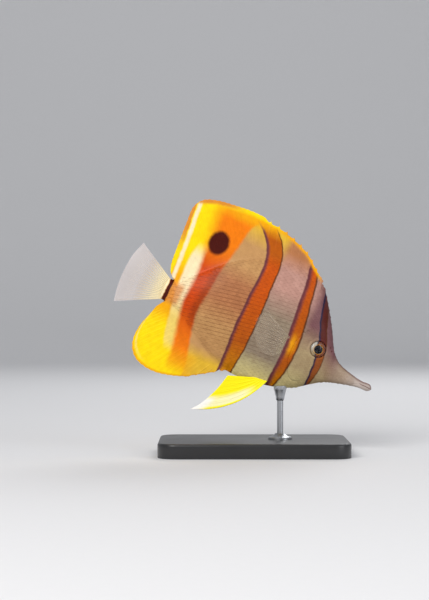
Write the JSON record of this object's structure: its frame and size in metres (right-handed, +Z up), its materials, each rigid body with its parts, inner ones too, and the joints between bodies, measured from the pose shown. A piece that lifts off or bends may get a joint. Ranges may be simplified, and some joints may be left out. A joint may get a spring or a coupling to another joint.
{
  "type": "copperband butterflyfish",
  "caption": "Life-size still model of a copperband butterflyfish swimming nose down, deep thin body, long snout, banded flanks and ocellus, on a rod over a flat base",
  "frame": {"origin": "centre of the base's underside, on the floor", "axes": "+Z up, +X the way the fish faces, -Y the side of the fish that the picture shows"},
  "size_m": [0.1424, 0.068, 0.1397],
  "materials": {
    "skin": "silvery, fine-scaled fish skin with orange bands edged in dark brown, softly glossy",
    "yellow_fin": "bright yellow fin membrane over raised rays, satin",
    "orange_fin": "orange and yellow fin membrane with a dark eye-spot, satin",
    "clear_fin": "milky, nearly clear fin membrane over fine rays",
    "eye": "wet glossy eye with a blue-black pupil and a brown iris",
    "stand_black": "satin black base plate",
    "stand_steel": "fine brushed steel rod and fittings"
  },
  "bodies": {
    "root": {"head": "skin", "snout": "skin", "lower_jaw": "skin", "gill_cover_left": "skin", "gill_cover_right": "skin", "torso": "skin", "tail_stalk": "skin", "dorsal_fin_spiny": "yellow_fin", "anal_fin": "yellow_fin", "pelvic_fin_left": "yellow_fin", "pelvic_fin_right": "yellow_fin", "dorsal_fin_soft": "orange_fin", "tail_fin": "clear_fin", "pectoral_fin_left": "clear_fin", "pectoral_fin_right": "clear_fin", "eye_left": "eye", "eye_right": "eye", "stand_base": "stand_black", "stand_foot": "stand_steel", "stand_rod": "stand_steel", "stand_cup": "stand_steel"}
  },
  "joints": []
}
